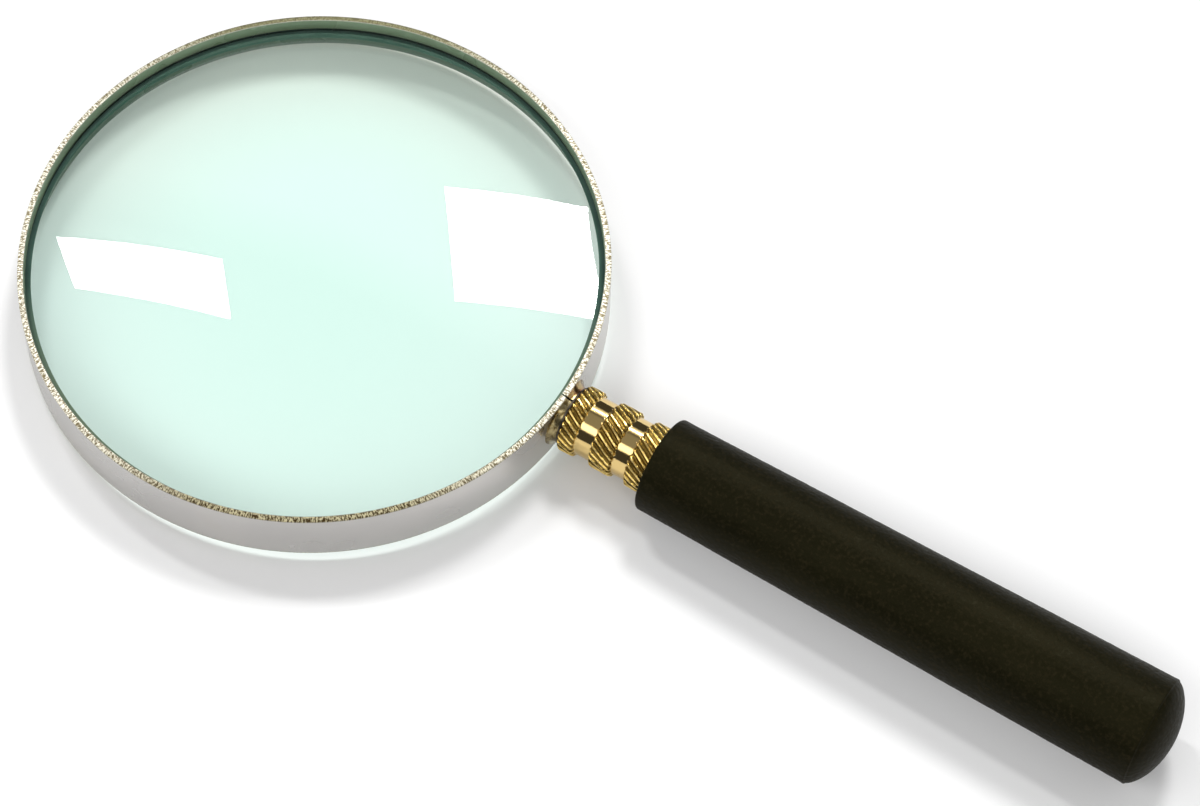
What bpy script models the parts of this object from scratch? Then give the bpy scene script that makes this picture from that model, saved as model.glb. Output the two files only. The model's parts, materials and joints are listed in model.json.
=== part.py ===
"""A hand-held magnifying glass: a split rim band around a plano-convex lens, closed by a brass ferrule.

Two half lugs are brazed to the ends of the band. Together they make one threaded stud, sawn in two.
The ferrule screws onto the stud, which draws the band closed, and its shank is pressed into the handle.
The glass lies as it would on a table: on the far edge of the band and the front edge of the handle.
"""
import math

import bmesh
import bpy
from mathutils import Matrix

MM = 0.001

# Lens
LENS_RADIUS = 50.0 * MM
LENS_EDGE_HALF = 2.9 * MM       # half the thickness at the edge, before the bevel
LENS_SAG = 4.4 * MM             # how far the upper face bulges above the edge; the lower face is flat
LENS_BEVEL_WIDTH = 1.2 * MM     # ground bevel round the upper face
LENS_BEVEL_HEIGHT = 0.8 * MM
LENS_CHAMFER = 0.35 * MM        # round the lower face
LENS_SEGMENTS = 96
LENS_RINGS = 7

# Rim band
BAND_OUTER_RADIUS = 50.9 * MM
BAND_WALL = 1.1 * MM
BAND_HEIGHT = 11.2 * MM
BAND_EDGE_ROUND = 0.12 * MM
LENS_SEAT_RADIUS = 50.1 * MM    # bottom of the shallow channel that holds the lens
LENS_SEAT_HALF = 3.15 * MM
SPLIT_GAP = 0.36 * MM           # between the two ends of the band, and between the lugs
BAND_SEGMENTS = 96

# Lugs and their thread, M8 x 1.25
NECK_RADIUS = 5.2 * MM
NECK_FLARE = 1.15 * MM          # radius of the braze fillet where the neck meets the band
NECK_END = 52.0 * MM
BRAZE_GAP = 0.1 * MM
LUG_HALF_HEIGHT = 5.3 * MM
THREAD_PITCH = 1.25 * MM
THREAD_CREST = 4.0 * MM
THREAD_ROOT = 3.35 * MM
THREAD_CREST_WIDTH = 0.2 * MM
THREAD_ROOT_WIDTH = 0.85 * MM
THREAD_START = 53.3 * MM
THREAD_END = 60.0 * MM
STUD_END = 60.6 * MM
THREAD_SEGMENTS = 24
THREAD_CLEARANCE = 0.12 * MM
STUD_SEGMENTS = 48

# Thrust washer between the neck and the ferrule
WASHER_START = 52.05 * MM
WASHER_END = 52.4 * MM
WASHER_OUTER = 5.4 * MM
WASHER_INNER = 4.2 * MM

# Ferrule: three knurled bands with two turned grooves between them
FERRULE_FRONT = 52.45 * MM
FERRULE_BANDS = ((52.45 * MM, 55.55 * MM), (58.65 * MM, 62.9 * MM), (65.6 * MM, 80.0 * MM))
FERRULE_RADIUS = 6.1 * MM
FERRULE_CHAMFER = 0.4 * MM
GROOVE_RADIUS = 5.38 * MM
GROOVE_SHOULDER = 0.4 * MM      # length of the slope from a band down to a groove
FERRULE_SEGMENTS = 48
FERRULE_BORE = THREAD_ROOT + THREAD_CLEARANCE
COUNTERSINK = 4.5 * MM

# Handle
HANDLE_FRONT = 69.4 * MM
HANDLE_SIDE_END = 163.05 * MM
HANDLE_FRONT_RADIUS = 8.53 * MM
HANDLE_REAR_RADIUS = 9.67 * MM
HANDLE_FRONT_ROUND = 0.6 * MM
HANDLE_DOME = 3.9 * MM          # how far the rounded end stands out from the end of the side
DOME_POWER = 0.7                # 0.5 would be an ellipsoid, 1 a shallow bowl with a sharp rim
DOME_SHARES = (0.35, 0.6, 0.78, 0.9, 0.96, 0.99)
HANDLE_END = HANDLE_SIDE_END + HANDLE_DOME
HANDLE_BORE = 6.2 * MM
HANDLE_BORE_END = 80.4 * MM
HANDLE_DRILL = 3.4 * MM
HANDLE_DRILL_END = 90.0 * MM
HANDLE_STATIONS = 6
HANDLE_SEGMENTS = 48

COLOURS = {
    "lens": (0.80, 0.93, 0.88),
    "rim_band": (0.62, 0.60, 0.62),
    "lug": (0.60, 0.56, 0.50),
    "washer": (0.10, 0.09, 0.08),
    "ferrule": (0.78, 0.57, 0.20),
    "handle": (0.025, 0.020, 0.012),
}


def remove_old_objects():
    for old in list(bpy.data.objects):
        bpy.data.objects.remove(old, do_unlink=True)


def make_material(name, colour, roughness, metallic, alpha=1.0):
    material = bpy.data.materials.new(name)
    material.use_nodes = True
    shader = material.node_tree.nodes["Principled BSDF"]
    shader.inputs["Base Color"].default_value = (*colour, 1.0)
    shader.inputs["Roughness"].default_value = roughness
    shader.inputs["Metallic"].default_value = metallic
    shader.inputs["Alpha"].default_value = alpha
    return material


def add_empty(name, parent=None, location=(0, 0, 0), rotation=(0, 0, 0)):
    empty = bpy.data.objects.new(name, None)
    bpy.context.scene.collection.objects.link(empty)
    empty.empty_display_size = 0.01
    empty.parent = parent
    empty.location = location
    empty.rotation_euler = rotation
    return empty


def add_object(name, mesh, parent, material=None):
    item = bpy.data.objects.new(name, mesh)
    bpy.context.scene.collection.objects.link(item)
    item.parent = parent
    if material:
        mesh.materials.append(material)
    mesh.shade_smooth()
    mesh.set_sharp_from_angle(angle=math.radians(28))
    return item


def as_guide(item):
    """A cutter or another shape that only works on its neighbours."""
    item.hide_render = True
    item.display_type = "WIRE"
    return item


def add_boolean(item, other, operation):
    modifier = item.modifiers.new(operation.lower(), "BOOLEAN")
    modifier.operation = operation
    modifier.object = other
    modifier.solver = "EXACT"


def arc(centre_r, centre_z, radius, start, end, steps):
    """Points (radius, height) along an arc, with its angles in degrees from the outward direction."""
    points = []
    for step in range(steps + 1):
        angle = math.radians(start + (end - start) * step / steps)
        points.append((centre_r + radius * math.cos(angle), centre_z + radius * math.sin(angle)))
    return points


def turned(name, outline, segments, closed=False, start=0.0, sweep=math.tau):
    """Spins an outline of (radius, height) points about Z into one closed mesh."""
    bm = bmesh.new()
    turn = Matrix.Rotation(start, 4, "Z")
    verts = [bm.verts.new(turn @ Matrix.Translation((r, 0, z)).translation) for r, z in outline]
    edges = [bm.edges.new(pair) for pair in zip(verts, verts[1:])]
    profile = verts + edges
    full = sweep > math.tau - 1e-9
    if closed:
        profile.append(bm.edges.new((verts[-1], verts[0])))
    if not full:
        profile.append(bm.faces.new(verts))
    bmesh.ops.spin(bm, geom=profile, axis=(0, 0, 1), cent=(0, 0, 0), angle=sweep, steps=segments,
                   use_merge=full)
    bmesh.ops.remove_doubles(bm, verts=bm.verts, dist=1e-7)
    bmesh.ops.recalc_face_normals(bm, faces=bm.faces)
    mesh = bpy.data.meshes.new(name)
    bm.to_mesh(mesh)
    bm.free()
    return mesh


def thread_ridge(name, parent, grow, extra_turns=0):
    """The helical ridge of the thread, grown on every side; its ends run out below the root.

    Extra turns carry the ridge out past the start, so that as a cutter it opens the groove to the front.
    """
    turns = (THREAD_END - THREAD_START) / THREAD_PITCH + extra_turns
    start = THREAD_START - extra_turns * THREAD_PITCH
    steps = round(turns * THREAD_SEGMENTS)
    inner = THREAD_ROOT - 0.35 * MM
    slope = (THREAD_ROOT_WIDTH - THREAD_CREST_WIDTH) / (THREAD_CREST - THREAD_ROOT)
    inner_width = THREAD_ROOT_WIDTH + slope * (THREAD_ROOT - inner)
    run_out = THREAD_SEGMENTS / 3
    bm = bmesh.new()
    sections = []
    for step in range(steps + 1):
        angle = math.tau * step / THREAD_SEGMENTS
        rise = start + THREAD_PITCH * step / THREAD_SEGMENTS
        fade = min(1.0, (step + 1) / run_out, (steps - step + 1) / run_out)
        crest = inner + (THREAD_CREST + grow - inner) * fade
        section = []
        for radius, half in ((inner, inner_width / 2 + grow), (crest, THREAD_CREST_WIDTH / 2 + grow)):
            for side in (-1, 1) if radius == inner else (1, -1):
                x = radius * math.cos(angle)
                y = radius * math.sin(angle)
                section.append(bm.verts.new((x, y, rise + side * half)))
        sections.append(section)
    for section, following in zip(sections, sections[1:]):
        for corner in range(4):
            after = (corner + 1) % 4
            bm.faces.new((section[corner], section[after], following[after], following[corner]))
    bm.faces.new(sections[0])
    bm.faces.new(reversed(sections[-1]))
    bmesh.ops.recalc_face_normals(bm, faces=bm.faces)
    mesh = bpy.data.meshes.new(name)
    bm.to_mesh(mesh)
    bm.free()
    return as_guide(add_object(name, mesh, parent))


def add_lens(parent):
    curve_radius = (LENS_RADIUS ** 2 + LENS_SAG ** 2) / (2 * LENS_SAG)
    upper = []
    for ring in range(LENS_RINGS + 1):
        r = (LENS_RADIUS - LENS_BEVEL_WIDTH) * ring / LENS_RINGS
        drop = curve_radius - math.sqrt(curve_radius ** 2 - r ** 2)
        upper.append((r, LENS_EDGE_HALF + LENS_SAG - drop))
    upper.append((LENS_RADIUS, upper[-1][1] - LENS_BEVEL_HEIGHT))
    lower = [(LENS_RADIUS, -LENS_EDGE_HALF + LENS_CHAMFER), (LENS_RADIUS - LENS_CHAMFER, -LENS_EDGE_HALF),
             (0.0, -LENS_EDGE_HALF)]
    mesh = turned("lens", upper + lower, LENS_SEGMENTS)
    glass = make_material("lens_glass", COLOURS["lens"], 0.02, 0.0, alpha=0.35)
    add_object("lens", mesh, parent, glass)


def add_rim_band(parent):
    half = BAND_HEIGHT / 2
    inner = BAND_OUTER_RADIUS - BAND_WALL
    outline = [
        (BAND_OUTER_RADIUS - BAND_EDGE_ROUND, half),
        (BAND_OUTER_RADIUS, half - BAND_EDGE_ROUND),
        (BAND_OUTER_RADIUS, -half + BAND_EDGE_ROUND),
        (BAND_OUTER_RADIUS - BAND_EDGE_ROUND, -half),
        (inner, -half),
        (inner, -LENS_SEAT_HALF),
        (LENS_SEAT_RADIUS, -LENS_SEAT_HALF + (LENS_SEAT_RADIUS - inner)),
        (LENS_SEAT_RADIUS, LENS_SEAT_HALF - (LENS_SEAT_RADIUS - inner)),
        (inner, LENS_SEAT_HALF),
        (inner, half),
    ]
    split_angle = SPLIT_GAP / BAND_OUTER_RADIUS
    mesh = turned("rim_band", outline, BAND_SEGMENTS, closed=True, start=split_angle / 2,
                  sweep=math.tau - split_angle)
    add_object("rim_band", mesh, parent, make_material("nickel_band", COLOURS["rim_band"], 0.28, 1.0))


def box_mesh(name, low, high):
    bm = bmesh.new()
    bmesh.ops.create_cube(bm, size=1.0)
    size = [b - a for a, b in zip(low, high)]
    middle = [(a + b) / 2 for a, b in zip(low, high)]
    bmesh.ops.scale(bm, vec=size, verts=bm.verts)
    bmesh.ops.translate(bm, vec=middle, verts=bm.verts)
    mesh = bpy.data.meshes.new(name)
    bm.to_mesh(mesh)
    bm.free()
    return mesh


def add_lugs(flat_frame, stud_frame):
    """Two mirror-like halves of one turned and threaded stud, shaped to the outside of the band."""
    # The turned outline starts inside the band and is trimmed back to its outer face.
    flare = arc(NECK_RADIUS + NECK_FLARE, NECK_END - 0.05 * MM, NECK_FLARE, 180, 262, 5)
    outline = [(0.0, STUD_END)]
    outline.append((THREAD_ROOT - 0.5 * MM, STUD_END))
    outline.append((THREAD_ROOT, STUD_END - 0.5 * MM))
    outline.append((THREAD_ROOT, NECK_END))
    outline.append((NECK_RADIUS, NECK_END))
    outline += flare
    last_radius = outline[-1][0]
    outline.append((last_radius, BAND_OUTER_RADIUS - 3 * MM))
    outline.append((0.0, BAND_OUTER_RADIUS - 3 * MM))
    ridge = thread_ridge("lug_thread_guide", stud_frame, 0.0)

    reach = 20 * MM
    band_round = [(0.0, reach), (BAND_OUTER_RADIUS + BRAZE_GAP, reach),
                  (BAND_OUTER_RADIUS + BRAZE_GAP, -reach), (0.0, -reach)]
    band_space = turned("band_space", band_round, BAND_SEGMENTS * 2)
    band_cutter = as_guide(add_object("band_cutter", band_space, flat_frame))

    metal = make_material("nickel_lug", COLOURS["lug"], 0.35, 1.0)
    x_low = BAND_OUTER_RADIUS - 6 * MM
    x_high = STUD_END + 1 * MM
    for name, side in (("lug_left", 1), ("lug_right", -1)):
        near = side * SPLIT_GAP / 2
        far = side * reach
        keep = box_mesh(name + "_half", (x_low, min(near, far), -LUG_HALF_HEIGHT),
                        (x_high, max(near, far), LUG_HALF_HEIGHT))
        keep_box = as_guide(add_object(name + "_half", keep, flat_frame))
        lug = add_object(name, turned(name, outline, STUD_SEGMENTS), stud_frame, metal)
        add_boolean(lug, ridge, "UNION")
        add_boolean(lug, band_cutter, "DIFFERENCE")
        add_boolean(lug, keep_box, "INTERSECT")


def add_washer(parent):
    outline = [(WASHER_OUTER, WASHER_END), (WASHER_OUTER, WASHER_START), (WASHER_INNER, WASHER_START),
               (WASHER_INNER, WASHER_END)]
    mesh = turned("thrust_washer", outline, STUD_SEGMENTS, closed=True)
    add_object("thrust_washer", mesh, parent, make_material("dark_steel", COLOURS["washer"], 0.5, 1.0))


def ferrule_outline():
    """(radius, height) round the whole section: the outside from front to back, then the bore."""
    first, second, third = FERRULE_BANDS
    outline = [(FERRULE_RADIUS - FERRULE_CHAMFER, first[0]), (FERRULE_RADIUS, first[0] + FERRULE_CHAMFER)]
    for band, following in ((first, second), (second, third)):
        outline.append((FERRULE_RADIUS, band[1]))
        outline.append((GROOVE_RADIUS, band[1] + GROOVE_SHOULDER))
        outline.append((GROOVE_RADIUS, following[0] - GROOVE_SHOULDER))
        outline.append((FERRULE_RADIUS, following[0]))
    outline.append((FERRULE_RADIUS, third[1] - FERRULE_CHAMFER))
    outline.append((FERRULE_RADIUS - FERRULE_CHAMFER, third[1]))
    outline.append((FERRULE_BORE, third[1]))
    outline.append((FERRULE_BORE, FERRULE_FRONT + COUNTERSINK - FERRULE_BORE))
    outline.append((COUNTERSINK, FERRULE_FRONT))
    return outline


def add_ferrule(parent):
    """A brass tube with turned grooves, cut inside by the thread, which starts at its open front."""
    mesh = turned("ferrule", ferrule_outline(), FERRULE_SEGMENTS, closed=True)
    ferrule = add_object("ferrule", mesh, parent, make_material("brass", COLOURS["ferrule"], 0.2, 1.0))
    ridge = thread_ridge("ferrule_thread_cutter", parent, THREAD_CLEARANCE, extra_turns=2)
    add_boolean(ferrule, ridge, "DIFFERENCE")


def add_handle(parent):
    side_start = HANDLE_FRONT + HANDLE_FRONT_ROUND
    side_length = HANDLE_SIDE_END - side_start
    widening = HANDLE_REAR_RADIUS - HANDLE_FRONT_RADIUS
    outline = [(0.0, HANDLE_END)]
    for share in DOME_SHARES:
        rise = HANDLE_DOME * (1 - share ** 2) ** DOME_POWER
        outline.append((HANDLE_REAR_RADIUS * share, HANDLE_SIDE_END + rise))
    for station in range(HANDLE_STATIONS):
        share = 1 - station / HANDLE_STATIONS
        outline.append((HANDLE_FRONT_RADIUS + widening * share, side_start + side_length * share))
    outline += arc(HANDLE_FRONT_RADIUS - HANDLE_FRONT_ROUND, side_start, HANDLE_FRONT_ROUND, 0, -90, 4)
    outline.append((HANDLE_BORE, HANDLE_FRONT))
    outline.append((HANDLE_BORE, HANDLE_BORE_END))
    outline.append((HANDLE_DRILL, HANDLE_BORE_END))
    outline.append((HANDLE_DRILL, HANDLE_DRILL_END))
    outline.append((0.0, HANDLE_DRILL_END + HANDLE_DRILL * 0.6))
    mesh = turned("handle_grip", outline, HANDLE_SEGMENTS)
    add_object("handle_grip", mesh, parent, make_material("handle", COLOURS["handle"], 0.42, 0.0))


def resting_place():
    """Tilt and lift of the glass as it lies on a table, with its middle over the origin."""
    edge_x = -(BAND_OUTER_RADIUS - BAND_EDGE_ROUND)
    edge_z = -BAND_HEIGHT / 2
    round_x = HANDLE_FRONT + HANDLE_FRONT_ROUND
    round_z = -(HANDLE_FRONT_RADIUS - HANDLE_FRONT_ROUND)
    reach = math.hypot(round_x - edge_x, round_z - edge_z)
    tilt = math.atan2(edge_z - round_z, round_x - edge_x) + math.asin(HANDLE_FRONT_ROUND / reach)
    lift = -(edge_x * math.sin(tilt) + edge_z * math.cos(tilt))
    low_x = -BAND_OUTER_RADIUS * math.cos(tilt) - (BAND_HEIGHT / 2 - BAND_EDGE_ROUND) * math.sin(tilt)
    high_x = HANDLE_END * math.cos(tilt)
    return tilt, lift, -(low_x + high_x) / 2


def build():
    remove_old_objects()
    tilt, lift, shift = resting_place()
    flat_frame = add_empty("ring_centre", location=(shift, 0, lift), rotation=(0, -tilt, 0))
    stud_frame = add_empty("stud_axis", parent=flat_frame, rotation=(0, math.pi / 2, 0))
    washer_frame = add_empty("washer_slide", parent=stud_frame)
    handle_frame = add_empty("handle_turn", parent=washer_frame)
    add_lens(flat_frame)
    add_rim_band(flat_frame)
    add_lugs(flat_frame, stud_frame)
    add_washer(washer_frame)
    add_ferrule(handle_frame)
    add_handle(handle_frame)


build()
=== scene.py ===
"""The looks of the magnifying glass: fine meshes, procedural materials, studio light and camera.

Every piece is made in the ring's own frame: its origin is the lens's centre, X runs along the
handle's axis and Z along the lens's optical axis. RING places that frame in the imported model.
"""
import json
import math

import bmesh
import bpy
from mathutils import Matrix, Vector, noise


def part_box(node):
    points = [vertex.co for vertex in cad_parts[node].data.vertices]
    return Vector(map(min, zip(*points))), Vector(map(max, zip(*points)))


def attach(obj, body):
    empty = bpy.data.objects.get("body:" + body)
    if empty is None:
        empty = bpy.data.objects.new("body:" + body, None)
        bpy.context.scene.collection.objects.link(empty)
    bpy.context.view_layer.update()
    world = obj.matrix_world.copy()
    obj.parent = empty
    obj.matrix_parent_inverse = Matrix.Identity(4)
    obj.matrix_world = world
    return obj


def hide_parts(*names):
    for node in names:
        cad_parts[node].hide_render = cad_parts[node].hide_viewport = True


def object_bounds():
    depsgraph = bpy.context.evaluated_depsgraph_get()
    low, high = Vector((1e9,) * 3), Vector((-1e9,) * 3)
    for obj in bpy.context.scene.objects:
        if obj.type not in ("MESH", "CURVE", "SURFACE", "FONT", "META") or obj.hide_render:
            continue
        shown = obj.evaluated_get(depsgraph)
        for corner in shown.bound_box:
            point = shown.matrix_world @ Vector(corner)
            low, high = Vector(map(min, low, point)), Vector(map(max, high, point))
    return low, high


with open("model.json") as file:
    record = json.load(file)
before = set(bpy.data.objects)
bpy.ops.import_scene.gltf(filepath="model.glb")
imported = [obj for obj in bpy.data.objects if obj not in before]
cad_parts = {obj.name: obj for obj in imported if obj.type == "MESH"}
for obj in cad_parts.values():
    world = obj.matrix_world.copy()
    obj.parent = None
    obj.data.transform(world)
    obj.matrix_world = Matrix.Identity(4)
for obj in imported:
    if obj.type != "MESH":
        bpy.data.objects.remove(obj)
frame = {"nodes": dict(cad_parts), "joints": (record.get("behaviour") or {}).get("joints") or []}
cad_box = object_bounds()

MM = 0.001
TAU = math.tau


# ---------------------------------------------------------------- the frame
def ring_frame():
    """The ring's own frame, from the unscrewing axis and the box of the rim band."""
    turn = next(j for j in frame["joints"] if j["name"] == "handle_unscrew")
    along = Vector(turn["axis"]).normalized()
    side = Vector((0, 1, 0))
    up = along.cross(side).normalized()
    low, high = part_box("rim_band")
    axis_point = Vector(turn["pos_m"])
    centre = axis_point + along * along.dot((low + high) / 2 - axis_point)
    matrix = Matrix((along, side, up)).transposed().to_4x4()
    matrix.translation = centre
    return matrix


RING = ring_frame()


def ring_span(node):
    """Lowest and highest corner of a CAD node in the ring's frame."""
    inverse = RING.inverted()
    points = [inverse @ v.co for v in frame["nodes"][node].data.vertices]
    low = Vector([min(p[i] for p in points) for i in range(3)])
    high = Vector([max(p[i] for p in points) for i in range(3)])
    return low, high


LENS_BOX = ring_span("lens")
BAND_BOX = ring_span("rim_band")
FERRULE_BOX = ring_span("ferrule")
HANDLE_BOX = ring_span("handle_grip")
WASHER_BOX = ring_span("thrust_washer")
LUG_BOX = ring_span("lug_left")

LENS_RADIUS = LENS_BOX[1].y
LENS_TOP = LENS_BOX[1].z
LENS_BOTTOM = LENS_BOX[0].z
BAND_RADIUS = BAND_BOX[1].y
BAND_HALF = BAND_BOX[1].z
FERRULE_FRONT = FERRULE_BOX[0].x
FERRULE_RADIUS = FERRULE_BOX[1].z
HANDLE_FRONT = HANDLE_BOX[0].x
HANDLE_END = HANDLE_BOX[1].x

# Sizes repeated from the design, in metres
LENS_EDGE_TOP = 2.9 * MM
LENS_SAG = LENS_TOP - LENS_EDGE_TOP
LENS_CURVE = (LENS_RADIUS ** 2 + LENS_SAG ** 2) / (2 * LENS_SAG)
LENS_CHAMFER = 0.35 * MM
BEVEL_WIDTH = 1.2 * MM
BEVEL_HEIGHT = 0.8 * MM
BAND_WALL = 1.1 * MM
SEAT_RADIUS = LENS_RADIUS + 0.1 * MM
SEAT_HALF = 3.15 * MM
CUT_ALLOWANCE = 0.06 * MM       # room for the cut edge's roughness under the band's full height
CUT_TOP = BAND_HALF - CUT_ALLOWANCE
UPPER_DROP = 0.2 * MM           # the cut edge is this much lower on its outer side
LOWER_DROP = 0.05 * MM
CUT_WIDTH = 0.86 * MM
CUT_ROUND = 0.16 * MM
CUT_BOW = 0.7                   # below 1, the cut edge bows up between its outer and inner side
LOWER_MARKS_SHIFT = 40.0        # radians round, so that the two cut edges' marks differ
SPLIT_GAP = 0.36 * MM
NECK_RADIUS = 5.2 * MM
NECK_END = 52.0 * MM
FLARE_REACH = 1.15 * MM
FLARE_SPREAD = 1.15             # the fillet's height for each unit of its reach
LUMP_HEIGHT = 0.16 * MM
LUG_HALF_HEIGHT = 5.3 * MM
LUG_TOP_ROUND = 0.45 * MM
THREAD_PITCH = 1.25 * MM
THREAD_CREST = 4.0 * MM
THREAD_ROOT = 3.35 * MM
THREAD_START = 53.3 * MM
THREAD_END = 60.0 * MM
STUD_END = LUG_BOX[1].x
STUD_CHAMFER = 0.5 * MM
THREAD_CLEARANCE = 0.12 * MM
WASHER_BORE = 4.2 * MM
FERRULE_BANDS = ((52.45 * MM, 55.55 * MM), (58.65 * MM, 62.9 * MM), (65.6 * MM, 80.0 * MM))
BAND_ROUND = 0.55 * MM
SHOULDER_REACH = 1.6            # in rounding radii, how far a band's shoulder runs out past its start
GROOVE_RADIUS = 5.38 * MM
KNURL_RIDGES = 28
KNURL_DEPTH = 0.42 * MM
KNURL_TWIST = math.tan(math.radians(30.0)) / FERRULE_RADIUS
KNURLED_END = HANDLE_FRONT + 1.2 * MM
SHANK_END = FERRULE_BOX[1].x
SHANK_STEP = 0.2 * MM           # the shank is this much slimmer than the bands
SHANK_CHAMFER = 0.4 * MM
SHANK_TARNISH = 0.5             # as deep as this share of the knurl's cuts
COUNTERSINK = 1.0 * MM
BORE_TARNISH = 0.35
HANDLE_FRONT_RADIUS = 8.53 * MM
HANDLE_REAR_RADIUS = 9.67 * MM
HANDLE_DOME = 3.9 * MM
HANDLE_BORE = 6.2 * MM
HANDLE_BORE_DEPTH = 9.0 * MM
HANDLE_FRONT_ROUND = 0.6 * MM
HANDLE_FACE_ROW = 7.2 * MM      # radius of a row on the plain front face
HANDLE_SKIN_FROM = 7.5 * MM     # inside this radius the skin is nearly plain
HANDLE_END_ROUND = 0.25 * MM
SKIN_DEPTH = 0.03 * MM
BEAD_HEIGHT = 0.02 * MM


# ---------------------------------------------------------------- mesh tools
def make_object(name, mesh, smooth_angle=35):
    """An object whose mesh has been moved from the ring's frame to the model's."""
    mesh.transform(RING)
    mesh.shade_smooth()
    mesh.set_sharp_from_angle(angle=math.radians(smooth_angle))
    item = bpy.data.objects.new(name, mesh)
    bpy.context.scene.collection.objects.link(item)
    return item


def tube_faces(rows, columns, closed_rows):
    """Quads of a grid that closes round its columns, and round its rows too when closed_rows is set."""
    faces = []
    for row in range(rows if closed_rows else rows - 1):
        below = (row + 1) % rows
        for column in range(columns):
            after = (column + 1) % columns
            faces.append((row * columns + column, row * columns + after,
                          below * columns + after, below * columns + column))
    return faces


def outward(mesh):
    """Joins points that coincide and turns every face outwards."""
    bm = bmesh.new()
    bm.from_mesh(mesh)
    bmesh.ops.remove_doubles(bm, verts=bm.verts, dist=1e-8)
    bmesh.ops.recalc_face_normals(bm, faces=bm.faces)
    bm.to_mesh(mesh)
    bm.free()
    return mesh


def grid_mesh(name, rings, closed=False, cap_start=False, cap_end=False):
    """A mesh from rings of points, each ring closed; a cap is a fan round the ring's middle."""
    columns = len(rings[0])
    verts = [point for ring in rings for point in ring]
    faces = tube_faces(len(rings), columns, closed)
    for wanted, row in ((cap_start, 0), (cap_end, len(rings) - 1)):
        if wanted:
            ring = rings[row]
            verts.append(tuple(sum(p[i] for p in ring) / columns for i in range(3)))
            first = row * columns
            for column in range(columns):
                faces.append((first + column, first + (column + 1) % columns, len(verts) - 1))
    mesh = bpy.data.meshes.new(name)
    mesh.from_pydata(verts, [], faces)
    return outward(mesh)


def around_x(x, radius, angle):
    """A point at a radius and an angle about the handle's axis, with angle 0 at the top."""
    return (x, -radius * math.sin(angle), radius * math.cos(angle))


def around_z(radius, z, angle):
    """A point at a radius and an angle about the optical axis, with angle 0 towards the handle."""
    return (radius * math.cos(angle), radius * math.sin(angle), z)


def arc(centre_a, centre_b, radius, start, end, steps):
    """Points (a, b) along an arc, with its angles in degrees from the a direction."""
    points = []
    for step in range(steps + 1):
        angle = math.radians(start + (end - start) * step / steps)
        points.append((centre_a + radius * math.cos(angle), centre_b + radius * math.sin(angle)))
    return points


def smoothstep(low, high, value):
    """0 at low and 1 at high, which may be below low, with a soft start and end."""
    share = min(1.0, max(0.0, (value - low) / (high - low)))
    return share * share * (3 - 2 * share)


def set_attribute(mesh, name, values):
    """Stores one number for each point of a mesh, for its material to read."""
    layer = mesh.attributes.new(name, "FLOAT", "POINT")
    layer.data.foreach_set("value", values)


# ---------------------------------------------------------------- node tools
class Nodes:
    """Short ways to build one material's node tree."""

    def __init__(self, name):
        self.material = bpy.data.materials.new(name)
        self.material.use_nodes = True
        self.tree = self.material.node_tree
        self.shader = self.tree.nodes["Principled BSDF"]
        self.output = self.tree.nodes["Material Output"]

    def add(self, kind, inputs=None, **settings):
        node = self.tree.nodes.new(kind)
        for key, value in settings.items():
            setattr(node, key, value)
        for key, value in (inputs or {}).items():
            self.set(node.inputs[key], value)
        return node

    def set(self, socket, value):
        if isinstance(value, bpy.types.NodeSocket):
            self.tree.links.new(value, socket)
        elif isinstance(value, bpy.types.Node):
            self.tree.links.new(value.outputs[0], socket)
        else:
            socket.default_value = value

    def math(self, operation, a, b=0.0, c=0.0):
        return self.add("ShaderNodeMath", {0: a, 1: b, 2: c}, operation=operation)

    def place(self, scale=(1, 1, 1)):
        """The point in the piece's own frame, scaled."""
        coords = self.add("ShaderNodeTexCoord")
        return self.add("ShaderNodeMapping", {"Vector": coords.outputs["Object"], "Scale": scale})

    def noise(self, scale, detail=4.0, roughness=0.55, vector=None, distortion=0.0):
        where = vector if vector else self.place()
        return self.add("ShaderNodeTexNoise", {"Vector": where, "Scale": scale, "Detail": detail,
                                               "Roughness": roughness, "Distortion": distortion})

    def range(self, value, low, high, to_low, to_high):
        return self.add("ShaderNodeMapRange", {"Value": value, "From Min": low, "From Max": high,
                                               "To Min": to_low, "To Max": to_high})

    def mix(self, share, first, second, blend="MIX"):
        node = self.add("ShaderNodeMix", data_type="RGBA", blend_type=blend)
        self.set(node.inputs[0], share)
        self.set(node.inputs[6], first)
        self.set(node.inputs[7], second)
        return node.outputs[2]

    def bump(self, height, distance, strength=1.0, normal=None):
        inputs = {"Height": height, "Distance": distance, "Strength": strength}
        if normal:
            inputs["Normal"] = normal
        return self.add("ShaderNodeBump", inputs)


def rgb(red, green, blue):
    return (red, green, blue, 1.0)


# ---------------------------------------------------------------- materials
# Directions from the ring's middle: along the first, painted highlights brighten the cut edge at its two
# sides and painted shade darkens the plate away from the handle; towards the second, painted shade dulls the
# back of the cut edge, the glass and its ground edge
PAINTED_LIGHT_SIDE = Vector((0.864, 0.503, 0.0))
SHADED_BACK = Vector((-0.503, 0.864, 0.0))


def from_middle(n):
    """The way from the ring's middle to the point being shaded."""
    coords = n.add("ShaderNodeTexCoord")
    return n.add("ShaderNodeVectorMath", {0: coords.outputs["Object"], 1: RING.translation},
                 operation="SUBTRACT")


def along_way(n, way, direction):
    """How far a vector reaches in a direction."""
    return n.add("ShaderNodeVectorMath", {0: way, 1: direction}, operation="DOT_PRODUCT").outputs["Value"]


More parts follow.
